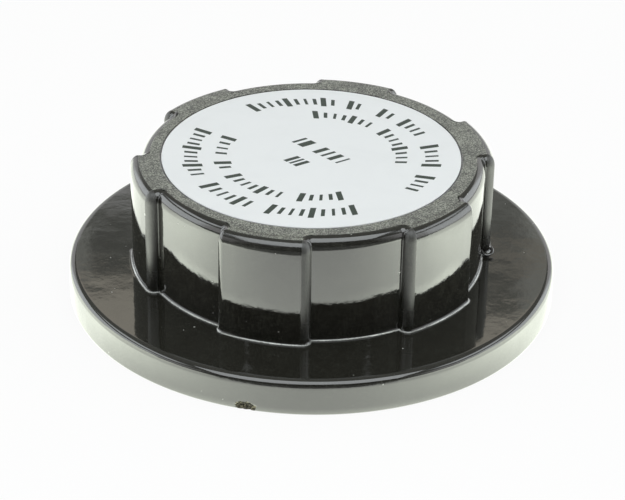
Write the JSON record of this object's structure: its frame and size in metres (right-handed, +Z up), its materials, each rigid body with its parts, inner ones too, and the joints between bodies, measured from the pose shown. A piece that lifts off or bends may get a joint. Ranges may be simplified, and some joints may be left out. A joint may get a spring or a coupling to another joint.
{
  "type": "radiator cap",
  "caption": "Screw-on pressure cap for a radiator or surge tank: wide flange, ribbed round grip, flat top with a label, inner thread, neck gasket and spring-loaded pressure and vacuum valves.",
  "frame": {"origin": "centre of the plane that the flange's rim stands on", "axes": "+Z up along the cap's axis, towards the label; -Y is the side seen first"},
  "size_m": [0.1016, 0.1016, 0.0304],
  "materials": {
    "gloss_black_nylon": "glossy moulded, matte grained on the flat top",
    "white_vinyl": "satin printed film",
    "black_rubber": "matte",
    "grey_nylon": "satin moulded",
    "plated_steel": "zinc plated, satin",
    "spring_steel": "drawn wire",
    "dark_ink": "screen-printed ink",
    "brass": "satin"
  },
  "bodies": {
    "cap": {"cap_shell": "gloss_black_nylon", "label_disc": "white_vinyl", "neck_gasket": "black_rubber", "valve_cage": "grey_nylon", "cage_screw_1": "plated_steel", "cage_screw_2": "plated_steel", "cage_screw_3": "plated_steel", "cage_o_ring_lower": "black_rubber", "cage_o_ring_upper": "black_rubber", "seat_ring": "brass", "stop_ring": "spring_steel", "spring_washer": "plated_steel", "pressure_spring": "spring_steel"},
    "pressure_valve": {"pressure_plate": "plated_steel", "pressure_seal": "black_rubber", "seal_retainer": "plated_steel", "valve_eyelet": "brass", "vacuum_spring": "spring_steel"},
    "vacuum_valve": {"vacuum_seal": "black_rubber", "vacuum_disc": "plated_steel", "vacuum_stem": "brass", "stem_keeper": "plated_steel"}
  },
  "joints": [
    {"name": "pressure_valve_lift", "type": "slide", "parent": "cap", "child": "pressure_valve", "axis": [0, 0, 1], "range_m": [0, 0.003], "stiffness_N_per_m": 5200, "springref_m": -0.0005, "deforming": ["pressure_spring"]},
    {"name": "vacuum_valve_drop", "type": "slide", "parent": "pressure_valve", "child": "vacuum_valve", "axis": [0, 0, -1], "range_m": [0, 0.0012], "stiffness_N_per_m": 220, "springref_m": -0.0005, "deforming": ["vacuum_spring"]}
  ]
}
